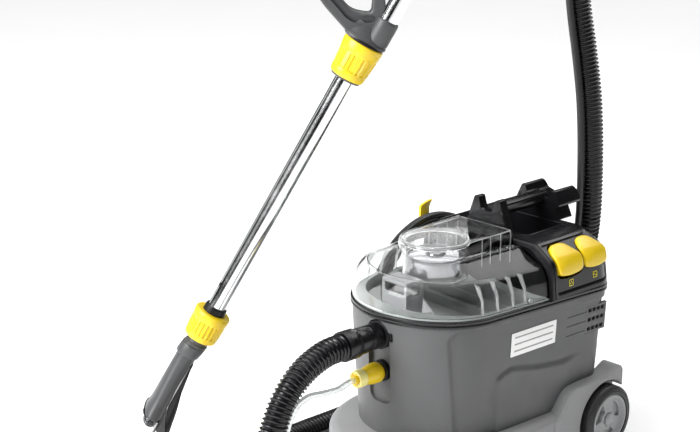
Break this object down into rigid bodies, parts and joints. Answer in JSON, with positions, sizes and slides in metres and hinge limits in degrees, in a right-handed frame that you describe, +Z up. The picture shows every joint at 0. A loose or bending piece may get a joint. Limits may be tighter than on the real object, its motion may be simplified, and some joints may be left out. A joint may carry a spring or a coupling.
{
  "type": "spot extractor",
  "caption": "Wheeled spray extraction cleaner with a clear tank lid, two push switches, carrying bar, floor wand on a corrugated hose and a mains lead wound at the side.",
  "frame": {"origin": "on the floor, at the middle of the footprint of the machine and its wand together", "axes": "+Z up, +X towards the rear wheels, -Y the side with the switches"},
  "size_m": [0.8804, 0.5785, 1.21],
  "materials": {
    "body_grey": "fine moulded grain, warm mid grey",
    "wheel_grey": "satin moulded plastic, light grey",
    "wand_grey": "satin moulded plastic, mid grey",
    "black_gloss": "glossy moulded plastic, black",
    "black_satin": "satin moulded plastic, black",
    "black_rubber": "smooth soft seal rubber",
    "tyre_rubber": "solid rubber tread, dark grey",
    "yellow": "bright yellow moulded plastic, soft gloss",
    "clear_plastic": "clear, slightly milky where the walls turn",
    "tank_white": "natural translucent plastic, pale",
    "duct_grey": "satin moulded plastic, light grey",
    "white_label": "printed film, white with a yellow bar",
    "chrome": "bright plated steel tube",
    "float_metal": "dark mirror coating",
    "steel": "drawn steel bar",
    "motor_black": "filled nylon motor housing",
    "pump_metal": "cast body",
    "corrugated_black": "corrugated soft plastic, black, soft shine",
    "sheath_black": "smooth sheathing tube, black",
    "clear_hose": "clear soft hose",
    "lead_black": "smooth rubber-sheathed cable, black"
  },
  "bodies": {
    "machine": {"chassis": "body_grey", "axle": "steel", "housing": "body_grey", "rim_band": "black_rubber", "vent_grille": "body_grey", "clean_water_tank": "tank_white", "intake_filter": "tank_white", "rear_cover": "black_gloss", "switch_block_suction": "black_satin", "switch_block_spray": "black_satin", "carry_handle": "black_gloss", "suction_turbine": "motor_black", "turbine_gasket": "black_rubber", "spray_pump": "pump_metal", "suction_port": "black_satin", "coupling_socket": "black_satin", "label_plate": "white_label", "lower_cable_hook": "black_satin", "lead_coil": "lead_black", "cable_gland": "black_rubber", "lead_start": "lead_black", "lead_tail": "lead_black", "mains_plug": "black_satin", "suction_hose": "corrugated_black", "spray_sheath": "sheath_black", "water_hose": "clear_hose"},
    "near_wheel": {"tyre_near": "tyre_rubber", "wheel_hub_near": "wheel_grey", "hub_cap_near": "wheel_grey"},
    "far_wheel": {"tyre_far": "tyre_rubber", "wheel_hub_far": "wheel_grey", "hub_cap_far": "wheel_grey"},
    "near_caster": {"caster_fork_near": "black_satin"},
    "near_caster_roller": {"caster_wheel_near": "tyre_rubber"},
    "far_caster": {"caster_fork_far": "black_satin"},
    "far_caster_roller": {"caster_wheel_far": "tyre_rubber"},
    "suction_button": {"suction_switch": "yellow"},
    "spray_button": {"spray_switch": "yellow"},
    "upper_hook": {"cable_hook": "yellow"},
    "quick_coupling": {"coupling_sleeve": "yellow"},
    "inlet_cuff": {"suction_cuff": "black_satin"},
    "dirty_tank": {"dirty_water_tank": "tank_white", "inlet_duct": "duct_grey"},
    "lid": {"tank_lid": "clear_plastic", "float_chamber": "clear_plastic"},
    "float": {"float_cup": "float_metal"},
    "wand": {"floor_head": "clear_plastic", "nozzle_neck": "wand_grey", "spray_carrier": "black_satin", "spray_tip": "yellow", "lower_tube": "chrome", "spray_tube": "chrome", "stirrup_handle": "wand_grey", "upper_tube": "chrome", "trigger_grip": "wand_grey", "hose_cuff": "black_satin"},
    "lower_union": {"lower_nut": "yellow"},
    "upper_union": {"upper_nut": "yellow"},
    "trigger_lever": {"trigger": "yellow"}
  },
  "joints": [
    {"name": "near_wheel_spin", "type": "hinge", "parent": "machine", "child": "near_wheel", "pos_m": [0.33204, -0.27499, 0.058], "axis": [0, 1, 0], "continuous": true},
    {"name": "near_caster_swivel", "type": "hinge", "parent": "machine", "child": "near_caster", "pos_m": [-0.00796, -0.19949, 0.06], "axis": [0, 0, 1], "continuous": true},
    {"name": "near_caster_roll", "type": "hinge", "parent": "near_caster", "child": "near_caster_roller", "pos_m": [0.00604, -0.19949, 0.02], "axis": [0, 1, 0], "continuous": true},
    {"name": "far_wheel_spin", "type": "hinge", "parent": "machine", "child": "far_wheel", "pos_m": [0.33204, 0.02601, 0.058], "axis": [0, 1, 0], "continuous": true},
    {"name": "far_caster_swivel", "type": "hinge", "parent": "machine", "child": "far_caster", "pos_m": [-0.00796, -0.04949, 0.06], "axis": [0, 0, 1], "continuous": true},
    {"name": "far_caster_roll", "type": "hinge", "parent": "far_caster", "child": "far_caster_roller", "pos_m": [0.00604, -0.04949, 0.02], "axis": [0, 1, 0], "continuous": true},
    {"name": "suction_button_press", "type": "slide", "parent": "machine", "child": "suction_button", "axis": [0, 0.6, -0.8], "range_m": [0, 0.004], "stiffness_N_per_m": 800},
    {"name": "spray_button_press", "type": "slide", "parent": "machine", "child": "spray_button", "axis": [0, 0.6, -0.8], "range_m": [0, 0.004], "stiffness_N_per_m": 800},
    {"name": "cable_hook_turn", "type": "hinge", "parent": "machine", "child": "upper_hook", "pos_m": [0.25004, 0.03551, 0.331], "axis": [0, 1, 0], "range_deg": [0, 180]},
    {"name": "coupling_release", "type": "slide", "parent": "machine", "child": "quick_coupling", "axis": [-1, 0, 0], "range_m": [0, 0.005], "stiffness_N_per_m": 600},
    {"name": "cuff_swivel", "type": "hinge", "parent": "machine", "child": "inlet_cuff", "pos_m": [-0.07796, -0.12449, 0.266], "axis": [1, 0, 0], "continuous": true},
    {"name": "tank_lift_out", "type": "slide", "parent": "machine", "child": "dirty_tank", "axis": [0, 0, 1], "range_m": [0, 0.12]},
    {"name": "lid_lift_off", "type": "slide", "parent": "dirty_tank", "child": "lid", "axis": [0, 0, 1], "range_m": [0, 0.09]},
    {"name": "float_rise", "type": "slide", "parent": "lid", "child": "float", "axis": [0, 0, 1], "range_m": [0, 0.012]},
    {"name": "wand_lift", "type": "slide", "parent": "machine", "child": "wand", "axis": [-0.6344, 0.602, 0.4848], "range_m": [0, 0.06]},
    {"name": "lower_union_turn", "type": "hinge", "parent": "wand", "child": "lower_union", "pos_m": [-0.2023, 0.10323, 0.26676], "axis": [0.3517, -0.3337, 0.8746], "continuous": true},
    {"name": "upper_union_turn", "type": "hinge", "parent": "wand", "child": "upper_union", "pos_m": [-0.03526, -0.05529, 0.6822], "axis": [0.3517, -0.3337, 0.8746], "continuous": true},
    {"name": "trigger_pull", "type": "hinge", "parent": "wand", "child": "trigger_lever", "pos_m": [0.08562, -0.17, 0.91683], "axis": [-0.6884, -0.7254, 0], "range_deg": [0, 10], "stiffness_Nm_per_rad": 0.6}
  ]
}
